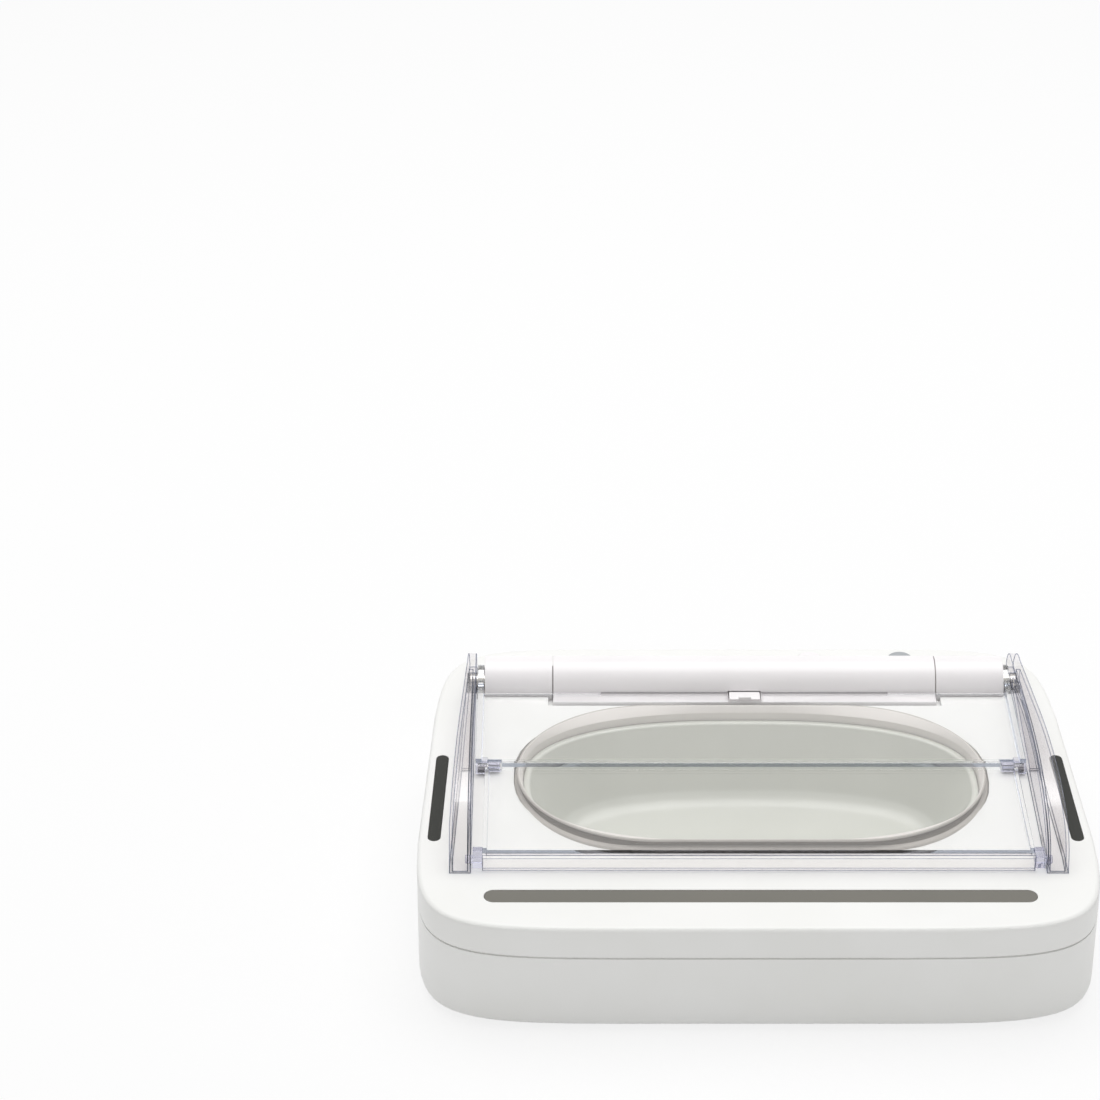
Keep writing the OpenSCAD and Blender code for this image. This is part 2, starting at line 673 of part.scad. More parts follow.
module left_bush() {
    color(bowl_grey) at_hinge() difference() {
        x_cylinder(-end_inner_x, -end_inner_x + bush_l, bush_r);
        x_cylinder(-end_inner_x - 1, -end_inner_x + bush_l + 1, spigot_r);
    }
}

module right_bush() {
    color(bowl_grey) at_hinge() difference() {
        x_cylinder(end_inner_x - bush_l, end_inner_x, sleeve_bore_r - fit);
        x_cylinder(end_inner_x - bush_l - 1, end_inner_x + 1, motor_r);
    }
}

coupling_l = 12;

module drive_coupling() {
    color(bowl_grey) at_hinge() {
        x_cylinder(motor_x0 - coupling_l, motor_x0 - gap * 2, sleeve_bore_r);
        x_cylinder(motor_x0 - 1, motor_x0 + shaft_l - 1, shaft_r);
    }
}

// Boards, switches, cells and fasteners

// Parts on the main board, each as place along and across it, length, width and height.
board_parts = [[0.11, 0.18, 30, 16, 6], [0.44, 0.24, 20, 20, 2.4], [0.71, 0.12, 18, 8, 8]];
capacitor_x = [24, 36];
capacitor_r = 4;
capacitor_h = 11;
capacitor_in = 10;

module main_board() {
    top = board_z + board_t - eps;
    color(board_green) {
        block(-board_half, board_half, board_y0, board_y1, board_z, board_z + board_t);
        for (b = board_parts)
            translate([-board_half + b[0] * 2 * board_half, board_y0 + b[1] * (board_y1 - board_y0), top])
                cube([b[2], b[3], b[4]]);
        for (x = capacitor_x)
            translate([x, board_y1 - capacitor_in, top]) cylinder(h = capacitor_h, r = capacitor_r);
    }
}

strip_over = 5;                        // how far a strip board runs past its window
lamp_margin = 12;                      // from a window's end to its last lamp
lamp_r = 2;
lamp_h = 1.8;

module strip_board(length, width, lamps) {
    pitch = (length - 2 * lamp_margin) / (lamps - 1);
    translate([-length / 2 - strip_over, -width / 2, -board_drop - board_t])
        cube([length + 2 * strip_over, width, board_t]);
    for (i = [0:lamps - 1]) translate([(i - (lamps - 1) / 2) * pitch, 0, -board_drop - eps]) {
        cylinder(h = lamp_h, r = lamp_r + 0.5);
        translate([0, 0, lamp_h]) sphere(r = lamp_r, $fn = 24);
    }
}

module front_sensor_board() {
    color(board_green) on_deck() translate([0, front_window_y, 0]) strip_board(front_window_l, front_window_w, 6);
}

module side_sensor_board(side) {
    color(board_green) mirrored(side) side_window_place() strip_board(side_window_l, side_window_w, 3);
}

button_board_l = lid_button_x - mode_button_x + 2 * board_post_x + 6;
button_board_w = 8;
switch_w = 6;
switch_h = 3;

module button_switches() {
    color(board_green) on_deck() {
        translate([(mode_button_x + lid_button_x - button_board_l) / 2, along_deck(button_y) - button_board_w / 2,
            -button_board_drop - board_t]) cube([button_board_l, button_board_w, board_t]);
        for (x = [mode_button_x, lid_button_x])
            translate([x - switch_w / 2, along_deck(button_y) - switch_w / 2, -button_board_drop - eps])
                cube([switch_w, switch_w, switch_h]);
    }
}

module cells(side) {
    color([0.35, 0.36, 0.38]) mirrored(side) for (i = [-1, 0])
        translate([cell_x, -cell_y + i * cell_l, cell_z]) rotate([-90, 0, 0]) {
            cylinder(h = cell_l - nub_h, r = cell_d / 2);
            cylinder(h = cell_l - eps * 10, r = nub_r);
        }
}

nub_h = 1.6;
nub_r = 3.2;
contact_t = 0.5;
contact_half = 9;

module battery_contacts() {
    color(steel) for (s = [-1, 1]) mirrored(s) {
        for (y = [chamber_y0, chamber_y1 - contact_t])
            block(cell_x - contact_half, cell_x + contact_half, y, y + contact_t,
                cell_z - contact_half, cell_z + contact_half);
    }
}

spring_wire_r = 0.35;
spring_r = 4.5;
spring_turns = 2.5;
spring_l = -cell_y - cell_l - chamber_y0 - contact_t - 2 * spring_wire_r;
wire_sides = 5;
spring_steps = 30;
function spring_point(i, k) =
    let (a = 360 * spring_turns * i / spring_steps, b = 360 * k / wire_sides, r = spring_r + spring_wire_r * cos(b))
    [r * cos(a), spring_wire_r + spring_l * i / spring_steps + spring_wire_r * sin(b), r * sin(a)];

module battery_springs() {
    color(steel) for (s = [-1, 1]) mirrored(s)
        translate([cell_x, chamber_y0 + contact_t, cell_z])
            loft([for (i = [0:spring_steps]) [for (k = [0:wire_sides - 1]) spring_point(i, k)]]);
}

module rubber_feet() {
    color(rubber_dark) for (p = foot_xy, s = [-1, 1])
        translate([s * p.x, p.y, 0]) cylinder(h = ground_gap + foot_recess, r = foot_r);
}

module case_screws() {
    color(steel) for (p = boss_xy, s = [-1, 1]) translate([s * p.x, p.y, ground_gap + head_h / 2]) {
        cylinder(h = head_h / 2, r = head_r - gap);
        cylinder(h = boss_split_z - ground_gap + screw_past, r = screw_r);
    }
}

// Clear lid

module rear_panel() {
    notch_half = latch_half + latch_side_gap;
    fold_y = mid_y + edge_gap / 2;
    lap_y = mid_y + mid_knuckle_r + knuckle_lap;
    color(clear) difference() {
        union() {
            block(-arm_x1, arm_x1, mid_y + mid_knuckle_r + knuckle_web, panel_back_y, under_z, top_z);
            block(-bar_half, bar_half, fold_y, lap_y, under_z, top_z);
            block(-bar_half, bar_half, fold_y, fold_y + rear_bar_t, under_z, rear_bar_z);
            block(-tongue_half, tongue_half, panel_back_y - 1, panel_back_y + tongue_l, under_z, top_z);
            for (s = [-1, 1]) mirrored(s) {
                block(arm_x0, arm_x1, mid_y, hinge_y, under_z, top_z + arm_h);
                at_hinge() x_cylinder(arm_x0, arm_x1, hub_r);
                block(knuckle_x0, arm_x1, mid_y, lap_y, under_z, knuckle_top);
                translate([0, mid_y, mid_z]) x_cylinder(knuckle_x0, arm_x1, mid_knuckle_r);
            }
        }
        for (s = [-1, 1]) mirrored(s) {
            at_hinge() x_cylinder(arm_x0 - 1, arm_x1 + 1, stub_pin_r + fit);
            translate([0, mid_y, mid_z]) x_cylinder(knuckle_x0 - 1, arm_x1 - 1, mid_pin_r);
        }
        block(-notch_half, notch_half, latch_front_y - latch_side_gap, panel_back_y + tongue_l + 1,
            under_z - 1, top_z + 1);
    }
}

mid_pin_seat = 0.6;                    // closed end of the front knuckle's bore

module mid_pin(side) {
    color(steel) mirrored(side) translate([0, mid_y, mid_z])
        x_cylinder(front_knuckle_x0 + mid_pin_seat + fit, arm_x1 - 1, mid_pin_r);
}

module front_panel() {
    web_y = mid_y - mid_knuckle_r - knuckle_web;
    lap_y = mid_y - mid_knuckle_r - knuckle_lap;
    fold_y = mid_y - edge_gap / 2;
    color(clear) difference() {
        union() {
            block(-front_half, front_half, skirt_y, web_y, under_z, top_z);
            block(-bar_half, bar_half, lap_y, fold_y, under_z, top_z);
            block(-bar_half, bar_half, fold_y - front_bar_t, fold_y, under_z, front_bar_z);
            block(-front_half, front_half, skirt_y, skirt_y + skirt_t, skirt_z0, rim_lip_z);
            for (s = [-1, 1]) mirrored(s) {
                block(front_half - skirt_t, front_half, skirt_y, web_y, under_z, rim_lip_z);
                block(front_knuckle_x0, front_knuckle_x1, lap_y, mid_y, under_z, knuckle_top);
                translate([0, mid_y, mid_z]) x_cylinder(front_knuckle_x0, front_knuckle_x1, mid_knuckle_r);
            }
        }
        for (s = [-1, 1]) mirrored(s) translate([0, mid_y, mid_z])
            x_cylinder(front_knuckle_x0 + mid_pin_seat, front_knuckle_x1 + 1, mid_pin_r + fit);
    }
}

shoe_front = 3.7;                      // how far a guide shoe reaches in front of its pin
shoe_back = 5;
shoe_under = 0.5;                      // how far it reaches below the pin
shoe_pin_past = 1;                     // how far the pin comes through the cheek's wall

module guide_shoe(side) {
    color(clear) mirrored(side) {
        block(front_half, arm_x1, pin_y - shoe_front, pin_y + shoe_back, pin_z - guide_pin_r - shoe_under, top_z);
        translate([0, pin_y, pin_z]) x_cylinder(arm_x1 - 1, cheek_x + cheek_wall + shoe_pin_past, guide_pin_r);
    }
}

module release_latch() {
    color(shell_white) {
        block(-latch_half, latch_half, latch_front_y, latch_back_y, under_z + eps * 10, latch_z1);
        block(-latch_grip_half, latch_grip_half, latch_front_y, latch_front_y + latch_grip_t,
            top_z, latch_z1 + latch_grip_h);
    }
}

// Side cheeks

slot_half = guide_pin_r + slot_gap;
crown_room = 0.12;                     // the hollow's edge stays this far from the slot's edge
crown_d = slot_half + crown_room + crown_t;
foot_y = pin_y - crown_d - 0.8;
lift_y = mid_y + 2;                    // behind this the lower edge leaves the deck
crest_t = 77;                          // from this lid angle the crown runs straight to the end disc
end_disc_r = tube_r + 1.2;
slot_end_t = lid_open + 2;             // the slot runs on to this lid angle

function arc_points(r, a0, a1, n) =
    [for (i = [0:n]) let (a = a0 + (a1 - a0) * i / n) [hinge_y + r * cos(a), hinge_z + r * sin(a)]];

function cheek_outline(inset) = concat(
    [[foot_y + inset, deck_z(foot_y) - (inset > 0 ? 1 : 0)],
     [foot_y + inset + 0.4, pin_z - 1]],
    beside_path(crown_d - inset, 3, crest_t),
    arc_points(end_disc_r - inset, 97, 3, 10),
    [[hinge_y + end_disc_r - inset, deck_z(hinge_y + end_disc_r)]],
    arc_points(eye_r, 0, -210, 14),
    [[lift_y, deck_z(lift_y) + inset]],
    inset > 0 ? [[lift_y, deck_z(lift_y) - 1]] : []);

function slot_outline() = concat(
    beside_path(slot_half, 0, slot_end_t),
    round_cap(slot_half, slot_end_t, 0),
    [for (i = [path_steps:-1:0]) beside_path(-slot_half, 0, slot_end_t)[i]],
    round_cap(slot_half, 0, 180));

foot_l = 12;                           // the cheek keeps its full width over this length

module cheek_plan(inset) {
    polygon([
        [cheek_x + inset, foot_y - 1],
        [cheek_x + cheek_front_w - inset, foot_y - 1],
        [cheek_x + cheek_front_w - inset, foot_y + foot_l],
        [cheek_x + cheek_back_w - inset, hinge_y + end_disc_r + 1],
        [cheek_x + inset, hinge_y + end_disc_r + 1]]);
}

module cheek(side) {
    color(clear) mirrored(side) difference() {
        intersection() {
            side_plate(cheek_x, cheek_x + cheek_front_w) polygon(cheek_outline(0));
            linear_extrude(height = lots) cheek_plan(0);
        }
        intersection() {
            side_plate(cheek_x, cheek_x + cheek_front_w) polygon(cheek_outline(crown_t));
            linear_extrude(height = lots) cheek_plan(cheek_wall);
            translate([0, -lots + hinge_y - eye_r - 2, 0]) cube([lots, lots, lots]);
        }
        side_plate(cheek_x - 1, cheek_x + cheek_wall + eps) polygon(slot_outline());
        at_hinge() x_cylinder(cheek_x - 1, cheek_x + cheek_pin_seat, stub_pin_r);
    }
}

// Buttons and doors

stop_t = 1;                            // thickness of the bar that keeps a button in the deck
stop_past = 1.5;
stop_half = 3.5;
stem_r = 2;

module push_button(x) {
    stem_z = -button_board_drop + switch_h + button_travel + gap;
    on_deck() translate([x, along_deck(button_y), 0]) {
        translate([0, 0, -wall]) cylinder(h = wall + button_proud, r = button_r);
        translate([0, 0, -wall - gap - stop_t]) cylinder(h = stop_t + gap + eps, r = button_r - 1);
        translate([-button_r - stop_past, -stop_half, -wall - gap - stop_t])
            cube([2 * (button_r + stop_past), 2 * stop_half, stop_t]);
        translate([0, 0, stem_z]) cylinder(h = -wall - stem_z, r = stem_r);
    }
}

module lid_button() {
    color([0.6, 0.6, 0.62]) push_button(lid_button_x);
}

module mode_button() {
    color(shell_white) push_button(mode_button_x);
}

rib_pitch = 2.4;                       // thumb ribs of the battery doors
rib_depth = 0.7;

module battery_door(side) {
    color(shell_white) mirrored(side) difference() {
        block(door_x0, door_x1, door_y0, door_y1, door_z0, door_z1);
        for (i = [0:5]) translate([cell_x - contact_half, door_y0 + rib_pitch * (i + wall), door_z0 - 1])
            cube([2 * contact_half, rib_pitch / 2, 1 + rib_depth]);
    }
}

upper_shell();
lower_shell();
front_window();
side_window(-1);  // left_window
side_window(1);  // right_window
bowl();
bowl_seal();
tube_end(-1);  // left_tube_end
tube_end(1);  // right_tube_end
hinge_pin(-1);  // left_hinge_pin
hinge_pin(1);  // right_hinge_pin
cheek(-1);  // left_cheek
cheek(1);  // right_cheek
gearmotor();
left_bush();
right_bush();
main_board();
front_sensor_board();
side_sensor_board(-1);  // left_sensor_board
side_sensor_board(1);  // right_sensor_board
button_switches();
cells(-1);  // left_cells
cells(1);  // right_cells
battery_contacts();
battery_springs();
rubber_feet();
case_screws();
hinge_sleeve();
sleeve_plugs();
drive_coupling();
rear_panel();
mid_pin(-1);  // left_mid_pin
mid_pin(1);  // right_mid_pin
release_latch();
front_panel();
guide_shoe(-1);  // left_guide_shoe
guide_shoe(1);  // right_guide_shoe
lid_button();
mode_button();
battery_door(-1);  // left_battery_door
battery_door(1);  // right_battery_door
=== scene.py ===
# %% [markdown]
# # A sealed pet bowl with a folding clear lid
#
# The real object is a flat white tub about 31 cm wide that runs on four C cells. A shallow grey bowl sits
# in its deck, and a lid of two clear panels seals it. A small gearmotor turns the round sleeve at the back,
# which lifts the rear panel, and the front panel folds down as its two guide pins follow the clear cheeks
# at the sides.
#
# The solids, with their joints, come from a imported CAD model. This lesson loads them as a fixed frame and
# dresses them: rounded edges, finishes, and the small details that moulded plastic and clear sheet show in
# a studio.

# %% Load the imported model
import json
import math
import bmesh
import bpy
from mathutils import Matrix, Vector

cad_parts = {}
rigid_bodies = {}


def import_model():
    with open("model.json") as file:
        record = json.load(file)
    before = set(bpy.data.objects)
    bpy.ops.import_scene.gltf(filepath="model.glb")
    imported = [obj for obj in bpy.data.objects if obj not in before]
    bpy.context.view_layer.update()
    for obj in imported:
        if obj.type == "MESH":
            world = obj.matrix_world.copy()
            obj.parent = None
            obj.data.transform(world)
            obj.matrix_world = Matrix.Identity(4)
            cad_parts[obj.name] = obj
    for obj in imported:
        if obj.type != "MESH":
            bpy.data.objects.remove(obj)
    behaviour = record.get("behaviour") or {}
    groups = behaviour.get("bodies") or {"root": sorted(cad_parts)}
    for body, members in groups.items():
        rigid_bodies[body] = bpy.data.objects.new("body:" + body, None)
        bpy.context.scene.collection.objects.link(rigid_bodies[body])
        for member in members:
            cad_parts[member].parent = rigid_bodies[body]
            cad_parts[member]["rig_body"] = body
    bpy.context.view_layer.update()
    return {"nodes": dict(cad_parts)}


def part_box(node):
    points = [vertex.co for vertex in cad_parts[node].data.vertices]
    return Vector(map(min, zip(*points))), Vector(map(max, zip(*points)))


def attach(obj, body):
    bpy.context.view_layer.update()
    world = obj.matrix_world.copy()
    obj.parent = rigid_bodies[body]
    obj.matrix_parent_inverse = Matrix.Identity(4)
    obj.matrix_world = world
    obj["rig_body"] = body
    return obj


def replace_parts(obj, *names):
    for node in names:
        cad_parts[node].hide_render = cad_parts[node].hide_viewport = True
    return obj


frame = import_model()
NODES = frame["nodes"]
MM = 0.001

# %% [markdown]
# ## The camera
#
# The photograph is a product picture, taken from about 1.7 m with a long lens, looking down by thirty
# degrees. The place and the lens were solved from the outline of the tub and the lid. A camera object looks
# along its own minus Z, so its X turn is ninety degrees less the pitch.

# %% Camera
CAMERA_PLACE = (-0.09508, -1.35622, 0.96577)
PITCH = 29.89
camera = bpy.data.objects.new("camera", bpy.data.cameras.new("camera"))
camera.data.sensor_width = 36.0
camera.data.lens = 112.568
camera.data.clip_start = 0.05
camera.data.clip_end = 60.0
camera.location = CAMERA_PLACE
camera.rotation_euler = (math.radians(90.0 - PITCH), 0.0, 0.0)
bpy.context.scene.collection.objects.link(camera)
bpy.context.scene.camera = camera
print("camera:", camera.location[:], "lens", camera.data.lens)

# %% [markdown]
# ## Colours and nodes
#
# A colour picker gives sRGB values, and the renderer works with linear light, so one function turns a hex
# colour into linear numbers. A second one adds a shader node, sets it and links it, which keeps every
# material short. A material and a world both own a node tree, so it serves both.

# %% Helpers for materials
def linear(hex_colour):
    parts = [int(hex_colour[i:i + 2], 16) / 255 for i in (1, 3, 5)]
    curve = [c / 12.92 if c <= 0.04045 else ((c + 0.055) / 1.055) ** 2.4 for c in parts]
    return (*curve, 1.0)


def add(owner, kind, inputs=None, **settings):
    """A new node. An input is set to a value, or linked where it is given a socket."""
    tree = owner.node_tree
    node = tree.nodes.new(kind)
    for name, value in settings.items():
        setattr(node, name, value)
    for name, value in (inputs or {}).items():
        if isinstance(value, bpy.types.NodeSocket):
            tree.links.new(value, node.inputs[name])
        else:
            node.inputs[name].default_value = value
    return node


def calculate(owner, operation, first, second):
    return add(owner, "ShaderNodeMath", {0: first, 1: second}, operation=operation).outputs[0]


def new_material(name):
    material = bpy.data.materials.new(name)
    material.use_nodes = True
    material.node_tree.nodes.clear()
    return material


def object_place(material):
    """Object coordinates, in metres."""
    return add(material, "ShaderNodeTexCoord").outputs["Object"]


def noise(material, size, detail=2.0):
    """A noise whose lumps are about size metres across."""
    return add(material, "ShaderNodeTexNoise", {
        "Vector": object_place(material), "Scale": 1.0 / size, "Detail": detail}).outputs["Fac"]


def spread(material, value, low, high):
    """Noise values, which keep near the middle, drawn out to a range, with no hard edge at its ends."""
    return add(material, "ShaderNodeMapRange", {
        "Value": value, "From Min": 0.2, "From Max": 0.8, "To Min": low, "To Max": high},
        interpolation_type="SMOOTHSTEP").outputs[0]


def two_colours(material, factor, first, second):
    return add(material, "ShaderNodeMix", {0: factor, 6: linear(first), 7: linear(second)},
               data_type="RGBA").outputs[2]


def bumped(material, height, depth, strength):
    """The normal of a surface with bumps of about depth metres."""
    return add(material, "ShaderNodeBump", {
        "Height": height, "Distance": depth, "Strength": strength}).outputs[0]


def blend(material, factor, first, second):
    return add(material, "ShaderNodeMixShader", {0: factor, 1: first, 2: second}).outputs[0]


def finish_with(material, surface):
    add(material, "ShaderNodeOutputMaterial", {"Surface": surface})
    return material


# %% [markdown]
# ## Opaque plastics
#
# The tub is ABS moulded in a spark-eroded tool, so its surface is a very fine satin grain. The grain of the
# real tool is under a tenth of a millimetre; it is drawn several times as coarse here so that it shows at
# all. The same recipe, with other colours and grain, gives the bowl (glossier polypropylene), the soft seal
# and the buttons.

# %% Moulded plastics
CLOUD_SIZE = 45 * MM
PATCH_SIZE = 12 * MM


def moulded(name, colour, shade, roughness, grain, depth, ior=1.53):
    """A colour and its shade in slow clouds, roughness that varies a little, and a moulded grain."""
    material = new_material(name)
    clouds = spread(material, noise(material, CLOUD_SIZE), 0.0, 1.0)
    satin = spread(material, noise(material, PATCH_SIZE), roughness - 0.025, roughness + 0.03)
    shader = add(material, "ShaderNodeBsdfPrincipled", {
        "Base Color": two_colours(material, clouds, colour, shade), "Roughness": satin,
        "Normal": bumped(material, noise(material, grain, 3.0), depth, 0.6), "IOR": ior})
    return finish_with(material, shader.outputs[0])


WHITE_ABS = moulded("white ABS, fine satin grain", "#f3f3f1", "#efefec", 0.42, 0.4 * MM, 0.03 * MM)
BRIGHT_ABS = moulded("white ABS, polished", "#f6f3f4", "#f2eff0", 0.30, 0.6 * MM, 0.01 * MM)
BUTTON_GREY = moulded("grey ABS button", "#a9acaf", "#a2a5a8", 0.38, 0.4 * MM, 0.02 * MM)
BOWL_PLASTIC = moulded(
    "grey polypropylene, glossy", "#d5d6cd", "#d1d2c9", 0.24, 0.8 * MM, 0.008 * MM, ior=1.49)
BEARING = moulded(
    "natural acetal bearing plastic", "#e9e6dc", "#e2dfd3", 0.35, 0.5 * MM, 0.01 * MM, ior=1.48)
SEAL_RUBBER = moulded(
    "soft pale sealing elastomer", "#e9e4df", "#e4dfda", 0.62, 0.5 * MM, 0.03 * MM, ior=1.5)
# painted shade: the seal's outside is a darker copy of the same rubber, and the groove under its lip darker
# still, as painted shadow
SEAL_SKIRT_PAINTED_SHADE = moulded(
    "soft sealing elastomer, outside, painted shade", "#bdb7b0", "#b7b1aa", 0.62, 0.5 * MM, 0.03 * MM, ior=1.5)
SEAL_GROOVE_PAINTED_SHADOW = moulded(
    "soft sealing elastomer, groove under the lip", "#746c63", "#6e675e", 0.70, 0.5 * MM, 0.03 * MM, ior=1.5)
FOOT_RUBBER = moulded("grey foot rubber", "#6f7072", "#66676a", 0.75, 0.5 * MM, 0.04 * MM, ior=1.5)
# painted reflection: the front window is coloured paler than the side windows, for the studio light it
# mirrors
FRONT_SMOKE_PAINTED_REFLECTION = moulded(
    "smoked window acrylic, front, paler with painted reflection", "#75726a", "#706e66", 0.12, 1.2 * MM, 0.004 * MM, ior=1.49)
SIDE_SMOKE = moulded(
    "smoked window acrylic, sides", "#2b2c27", "#272823", 0.16, 1.2 * MM, 0.004 * MM, ior=1.36)
BOARD_GREEN = moulded(
    "green solder mask on glass board", "#1f5d3a", "#1b5434", 0.30, 1.5 * MM, 0.02 * MM, ior=1.5)
CELL_JACKET = moulded(
    "dark shrink jacket of a cell", "#2b2d31", "#26282b", 0.30, 1.0 * MM, 0.01 * MM, ior=1.5)
print("opaque plastics made")

# %% [markdown]
# ## Steel
#
# Pins and screws are bright steel, drawn or rolled. A metal takes its colour in the reflection, so metallic
# is one and the base colour is a light warm grey. Fine scratches come from a noise stretched along one
# axis.

# %% Bright steel
def drawn_steel(name, colour, shade, roughness):
    material = new_material(name)
    stretched = add(material, "ShaderNodeMapping", {
        "Vector": object_place(material), "Scale": (40.0, 1500.0, 1500.0)}).outputs[0]
    streaks = add(material, "ShaderNodeTexNoise", {
        "Vector": stretched, "Scale": 1.0, "Detail": 3.0}).outputs["Fac"]
    shader = add(material, "ShaderNodeBsdfPrincipled", {
        "Base Color": two_colours(material, streaks, colour, shade), "Metallic": 1.0,
        "Roughness": spread(material, streaks, roughness - 0.05, roughness + 0.08),
        "Normal": bumped(material, streaks, 0.004 * MM, 0.2)})
    return finish_with(material, shader.outputs[0])


STEEL = drawn_steel("bright drawn steel", "#cfccc6", "#b9b6b0", 0.24)
print("steel made")

# %% [markdown]
# ## Clear polycarbonate
#
# The panels of the lid are injection-moulded polycarbonate, polished like glass, with an index of 1.585. A
# thin wall looks colourless, and an edge or a thick block looks pale blue-grey, because the eye looks
# through a long stretch of plastic there. A path tracer darkens what is under real glass, because it can't
# aim a lamp through it, so shadow rays and diffuse rays meet a transparent shader. It also gives up on
# light that runs to and fro inside a thin wall and paints it black; here such light leaves through the
# edge, with the tint of the long way.

# %% Clear polycarbonate
CLEAR_INDEX = 1.585
TURNED_BACK_TWICE = 1.5


def see_through(material, tint):
    return add(material, "ShaderNodeBsdfTransparent", {"Color": linear(tint)}).outputs[0]


def clear_plastic(name, tint, edge_tint, let_through):
    material = new_material(name)
    glass = add(material, "ShaderNodeBsdfPrincipled", {
        "Base Color": linear(tint), "Transmission Weight": 1.0, "IOR": CLEAR_INDEX,
        "Roughness": spread(material, noise(material, 20 * MM), 0.0, 0.02),
        "Normal": bumped(material, noise(material, 30 * MM, 1.0), 0.008 * MM, 0.3)}).outputs[0]
    ray = add(material, "ShaderNodeLightPath").outputs
    turned_back = calculate(material, "SUBTRACT", ray["Ray Depth"], ray["Transmission Depth"])
    tired = calculate(material, "GREATER_THAN", turned_back, TURNED_BACK_TWICE)
    inside = blend(material, tired, glass, see_through(material, edge_tint))
    lighting = calculate(material, "MAXIMUM", ray["Is Shadow Ray"], ray["Is Diffuse Ray"])
    return finish_with(material, blend(material, lighting, inside, see_through(material, let_through)))


CLEAR = clear_plastic("clear polycarbonate", "#fdfdfd", "#b3b9c4", "#fdfdfd")
THICK_CLEAR = clear_plastic("clear polycarbonate, thick blocks", "#d6d6e3", "#a5a7bc", "#f4f4f7")
print("clear plastic made")

# %% [markdown]
# ## Thin walls and their edges
#
# A cheek is a hollow shell with an open foot. Its walls are too thin to bend a view by much, so light goes
# straight through them with a trace of tint, more where a wall is seen edge on, and a soft gloss lies on
# top. What shows most in such a part is its edges: the small radius there turns the light away and draws a
# fine grey-blue line.

# %% Thin walls, and the lines of their edges
def thin_clear(name, face_on, edge_on, gloss):
    """Light goes straight through: face_on and edge_on are the tints, gloss the share of mirrored light."""
    material = new_material(name)
    seen = add(material, "ShaderNodeLayerWeight", {"Blend": 0.5}).outputs["Facing"]
    steep = add(material, "ShaderNodeMapRange", {"Value": seen, "From Min": 0.6, "From Max": 1.0}).outputs[0]
    clear = add(material, "ShaderNodeBsdfTransparent", {
        "Color": two_colours(material, steep, face_on, edge_on)}).outputs[0]
    polish = add(material, "ShaderNodeBsdfGlossy", {
        "Color": linear("#ffffff"), "Roughness": spread(material, noise(material, 15 * MM), 0.34, 0.42),
        "Normal": bumped(material, noise(material, 20 * MM, 1.0), 0.02 * MM, 0.4)}).outputs[0]
    mirrored = add(material, "ShaderNodeFresnel", {"IOR": CLEAR_INDEX}).outputs[0]
    share = calculate(material, "MULTIPLY", mirrored, gloss)
    return finish_with(material, blend(material, share, clear, polish))


THIN_CLEAR = thin_clear("clear polycarbonate, thin walls", "#fcfbfb", "#f7f6f8", 0.15)
# painted shade: the tint of the beads that draw a grey-blue line along each clear edge
EDGE_LINE_PAINTED_SHADE = thin_clear("clear polycarbonate, painted edge shade", "#d4d7e0", "#bcc1cd", 0.2)
print("thin walls made")

# %% [markdown]
# ## Rounding the moulded edges
#
# No moulded edge is sharp: it carries a small radius, and that radius is what catches the light. A CAD node
# arrives as loose triangles and is never changed itself, so a copy of it is merged, its flat faces are
# joined, and every edge sharper than thirty degrees gets a small bevel. The copy then stands for the node.

# %% Helpers: edges of a CAD node
TOUCHING = 0.001 * MM
SHELL_RADIUS = 0.2 * MM
SOFT_RADIUS = 0.25 * MM


def merged(node):
    """The node's loose triangles, joined at their corners."""
    bm = bmesh.new()
    bm.from_mesh(NODES[node].data)
    bmesh.ops.remove_doubles(bm, verts=bm.verts, dist=TOUCHING)
    return bm


def sharper_than(bm, degrees):
    return [e for e in bm.edges if len(e.link_faces) == 2 and e.calc_face_angle(0.0) > math.radians(degrees)]


def bevel(bm, edges, radius, segments):
    bmesh.ops.bevel(bm, geom=edges, offset=radius, offset_type="OFFSET", segments=segments, profile=0.5,
                    affect="EDGES", clamp_overlap=False, material=-1)


def put_in_scene(name, mesh):
    piece = bpy.data.objects.new(name, mesh)
    bpy.context.scene.collection.objects.link(piece)
    return piece


# %% Helper: a rounded copy of a CAD node
def rounded(node, material, radius, segments=2, cut=None):
    """Faces that cross the plane y = cut are split there, so that its two sides can differ in material."""
    bm = merged(node)
    bmesh.ops.dissolve_limit(bm, angle_limit=math.radians(0.1), verts=bm.verts, edges=bm.edges)
    bevel(bm, sharper_than(bm, 30.0), radius, segments)
    bmesh.ops.triangulate(bm, faces=[f for f in bm.faces if len(f.verts) > 4])
    if cut is not None:
        bmesh.ops.bisect_plane(bm, geom=[*bm.verts, *bm.edges, *bm.faces], plane_co=(0.0, cut, 0.0),
                               plane_no=(0.0, 1.0, 0.0))
    mesh = bpy.data.meshes.new(node + "_rounded")
    bm.to_mesh(mesh)
    bm.free()
    piece = put_in_scene(node + "_rounded", mesh)
    mesh.materials.append(material)
    mesh.shade_smooth()
    mesh.set_sharp_from_angle(angle=math.radians(32.0))
    weighted = piece.modifiers.new("weighted normals", "WEIGHTED_NORMAL")
    weighted.keep_sharp = True
    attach(piece, NODES[node]["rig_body"])
    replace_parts(piece, node)
    return piece


def also(piece, material, chosen):
    """Gives the faces for which chosen(face) is true one more material."""
    piece.data.materials.append(material)
    last = len(piece.data.materials) - 1
    for face in piece.data.polygons:
        if chosen(face):
            face.material_index = last
    return piece


def paint(material, *nodes):
    """The CAD nodes themselves show, in this material."""
    for node in nodes:
        NODES[node].data.materials.clear()
        NODES[node].data.materials.append(material)
